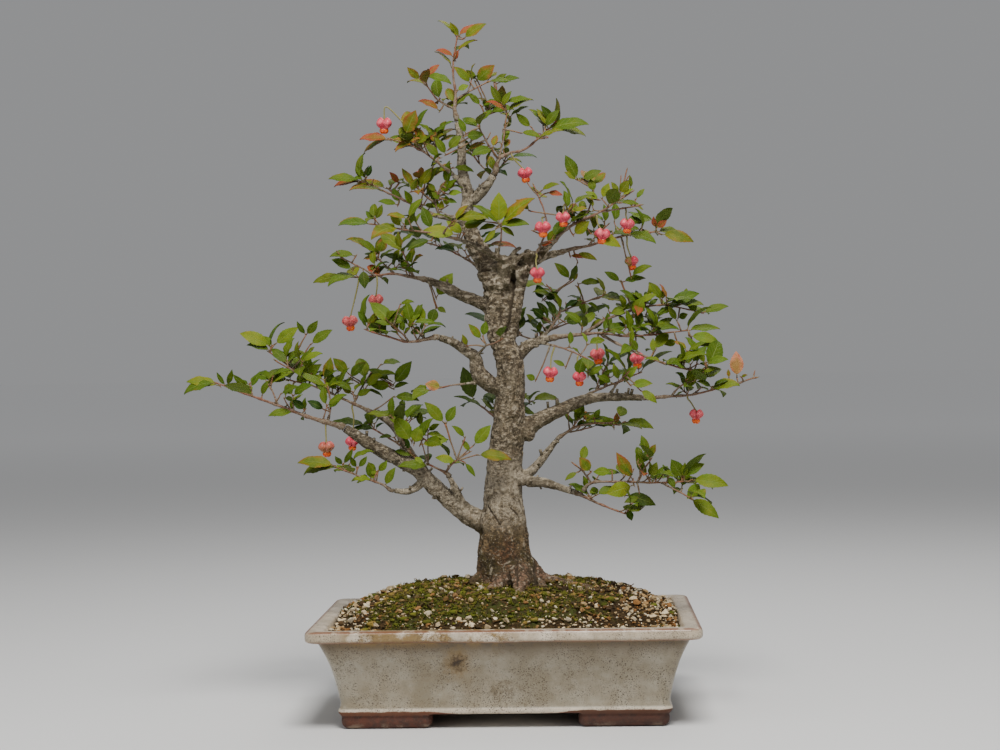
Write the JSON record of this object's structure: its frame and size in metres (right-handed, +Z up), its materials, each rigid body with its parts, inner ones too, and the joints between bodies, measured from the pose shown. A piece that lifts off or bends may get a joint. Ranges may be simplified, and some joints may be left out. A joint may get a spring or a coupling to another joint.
{
  "type": "european spindle bonsai",
  "caption": "Small fruiting spindle tree with a thick tapered trunk, spreading branches and pink lobed fruits, standing in a mound of gritty soil in a low rectangular glazed pot on feet.",
  "frame": {"origin": "on the surface the pot stands on, under the middle of the whole plant's outline", "axes": "+Z up the trunk, +X to the viewer's right along the pot's long side, +Y to its back"},
  "size_m": [0.467, 0.2276, 0.5535],
  "materials": {
    "glaze": "pale grey cream stoneware glaze, mottled, with red-brown bare clay at the foot",
    "screen_plastic": "black extruded plastic net",
    "soil": "pumice and clay grit, dark humus between, with moss over it",
    "bark": "grey-brown living bark, fissured, pitted and flecked",
    "leaf": "thin satin green leaves on green-brown twigs, some turning red",
    "fruit": "satin pink capsule with a waxy orange aril"
  },
  "bodies": {
    "root": {"pot": "glaze", "drain_screen_left": "screen_plastic", "drain_screen_right": "screen_plastic", "soil": "soil", "wood": "bark", "spray_crown": "leaf", "spray_crown_right": "leaf", "spray_second_leader": "leaf", "spray_higher_left": "leaf", "spray_high_left": "leaf", "spray_front_left": "leaf", "spray_fork_upright": "leaf", "spray_upper_left": "leaf", "spray_mid_left": "leaf", "spray_mid_left_inner": "leaf", "spray_mid_left_low": "leaf", "spray_low_left": "leaf", "spray_low_left_back": "leaf", "spray_low_left_front": "leaf", "spray_low_left_mid": "leaf", "spray_knee": "leaf", "spray_low_right": "leaf", "spray_low_right_back": "leaf", "spray_big_right": "leaf", "spray_big_right_mid": "leaf", "spray_big_right_back": "leaf", "spray_mid_right": "leaf", "spray_mid_right_back": "leaf", "spray_mid_right_front": "leaf", "spray_right_front": "leaf", "spray_right_back": "leaf", "spray_claw": "leaf", "spray_back_left": "leaf", "spray_back_low": "leaf", "spray_back_mid": "leaf", "spray_back_high": "leaf", "spray_back_top": "leaf", "fruit_01": "fruit", "fruit_02": "fruit", "fruit_03": "fruit", "fruit_04": "fruit", "fruit_05": "fruit", "fruit_06": "fruit", "fruit_07": "fruit", "fruit_08": "fruit", "fruit_09": "fruit", "fruit_10": "fruit", "fruit_11": "fruit", "fruit_12": "fruit", "fruit_13": "fruit", "fruit_14": "fruit", "fruit_15": "fruit", "fruit_16": "fruit", "fruit_17": "fruit"}
  },
  "joints": []
}
